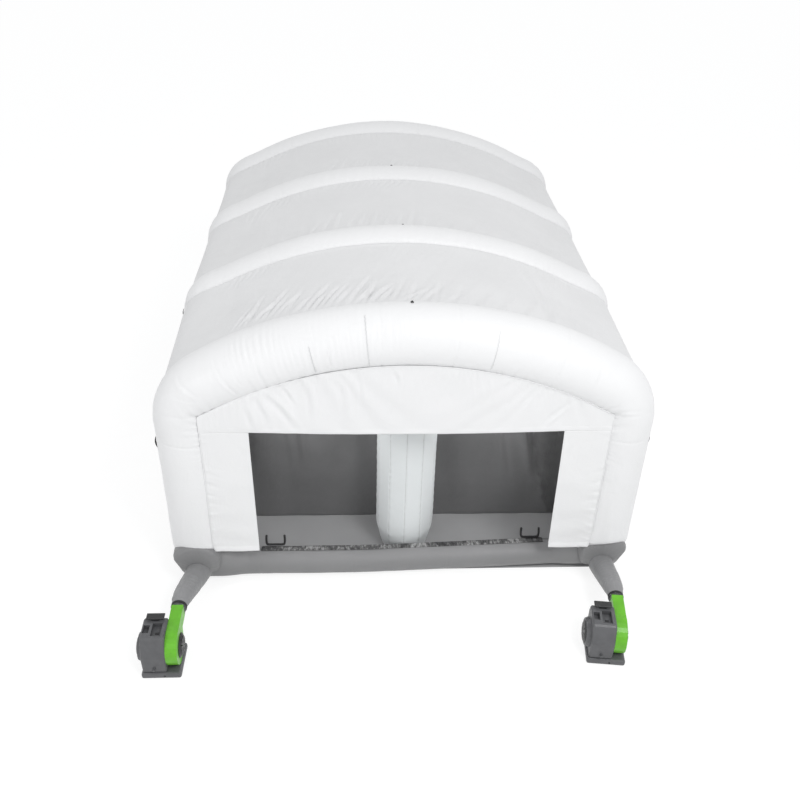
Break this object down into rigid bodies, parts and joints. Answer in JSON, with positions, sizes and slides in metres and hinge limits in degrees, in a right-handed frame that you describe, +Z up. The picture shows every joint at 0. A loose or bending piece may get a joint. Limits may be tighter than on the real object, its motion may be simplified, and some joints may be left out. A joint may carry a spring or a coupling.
{
  "type": "inflatable paint booth",
  "caption": "Inflatable paint booth: air-filled arches and panels on a grey base, an open filter chamber in front, a zipped rear door and blowers on fabric ducts.",
  "frame": {"origin": "on the ground, on the booth's middle plane, half way along the length that the booth and its blowers take together", "axes": "+Z up, -Y towards the open front and the blowers, +X to the right of someone who looks in at the front"},
  "size_m": [4.7206, 7.1893, 2.965],
  "materials": {
    "white_cloth": "satin coated polyester, air-filled",
    "panel_cloth": "satin coated polyester, single sheet",
    "grey_cloth": "satin heavy coated polyester",
    "duct_cloth": "soft coated polyester",
    "filter_cloth": "matte dark grey cloth",
    "floor_cloth": "satin heavy coated polyester",
    "strip_tape": "matte grey tape",
    "black_webbing": "matte woven webbing",
    "grey_plastic": "satin moulded plastic",
    "green_plastic": "satin moulded plastic",
    "black_plastic": "matte moulded plastic",
    "motor_alloy": "cast, matte",
    "steel": "ground",
    "zip_metal": "dark enamel"
  },
  "bodies": {
    "booth": {"front_arch": "white_cloth", "second_arch": "white_cloth", "third_arch": "white_cloth", "rear_arch": "white_cloth", "left_base": "grey_cloth", "right_base": "grey_cloth", "front_threshold": "grey_cloth", "rear_threshold": "grey_cloth", "centre_column": "white_cloth", "roof_panel_1": "panel_cloth", "roof_panel_2": "panel_cloth", "roof_panel_3": "panel_cloth", "left_wall_1": "panel_cloth", "left_wall_2": "panel_cloth", "left_wall_3": "panel_cloth", "right_wall_1": "panel_cloth", "right_wall_2": "panel_cloth", "right_wall_3": "panel_cloth", "front_header": "panel_cloth", "left_front_flap": "panel_cloth", "right_front_flap": "panel_cloth", "rear_header": "panel_cloth", "left_rear_flap": "panel_cloth", "right_rear_flap": "panel_cloth", "filter_wall": "filter_cloth", "ground_sheet": "floor_cloth", "threshold_strip": "strip_tape", "left_threshold_loop": "black_webbing", "right_threshold_loop": "black_webbing", "left_tie_loop": "black_webbing", "right_tie_loop": "black_webbing", "left_blower_base": "grey_plastic", "left_blower_housing": "grey_plastic", "left_blower_scroll": "green_plastic", "left_outlet_collar": "grey_plastic", "left_intake_grille": "black_plastic", "left_motor_grille": "black_plastic", "left_motor": "motor_alloy", "left_blower_handle": "black_plastic", "left_duct": "duct_cloth", "left_duct_strap": "black_webbing", "right_blower_base": "grey_plastic", "right_blower_housing": "grey_plastic", "right_blower_scroll": "green_plastic", "right_outlet_collar": "grey_plastic", "right_intake_grille": "black_plastic", "right_motor_grille": "black_plastic", "right_motor": "motor_alloy", "right_blower_handle": "black_plastic", "right_duct": "duct_cloth", "right_duct_strap": "black_webbing"},
    "left_door": {"left_door": "panel_cloth"},
    "right_door": {"right_door": "panel_cloth"},
    "zip": {"zip_slider": "zip_metal"},
    "left_wheel": {"left_impeller": "black_plastic", "left_motor_shaft": "steel"},
    "right_wheel": {"right_impeller": "black_plastic", "right_motor_shaft": "steel"},
    "left_switch": {"left_rocker_switch": "black_plastic"},
    "right_switch": {"right_rocker_switch": "black_plastic"}
  },
  "joints": [
    {"name": "left_door_swing", "type": "hinge", "parent": "booth", "child": "left_door", "pos_m": [-1.3, 3.5584, 0], "axis": [0, 0, 1], "range_deg": [0, 95]},
    {"name": "right_door_swing", "type": "hinge", "parent": "booth", "child": "right_door", "pos_m": [1.3, 3.5584, 0], "axis": [0, 0, -1], "range_deg": [0, 95]},
    {"name": "zip_slide", "type": "slide", "parent": "left_door", "child": "zip", "axis": [0, 0, 1], "range_m": [0, 1.45]},
    {"name": "left_wheel_spin", "type": "hinge", "parent": "booth", "child": "left_wheel", "pos_m": [-2.16, -3.39, 0.21], "axis": [1, 0, 0], "continuous": true},
    {"name": "right_wheel_spin", "type": "hinge", "parent": "booth", "child": "right_wheel", "pos_m": [1.862, -3.34, 0.21], "axis": [0.9925, -0.1219, 0], "continuous": true},
    {"name": "left_switch_tip", "type": "hinge", "parent": "booth", "child": "left_switch", "pos_m": [-2.215, -3.41, 0.385], "axis": [1, 0, 0], "range_deg": [-10, 10]},
    {"name": "right_switch_tip", "type": "hinge", "parent": "booth", "child": "right_switch", "pos_m": [1.80497, -3.35315, 0.385], "axis": [0.9925, -0.1219, 0], "range_deg": [-10, 10]}
  ]
}
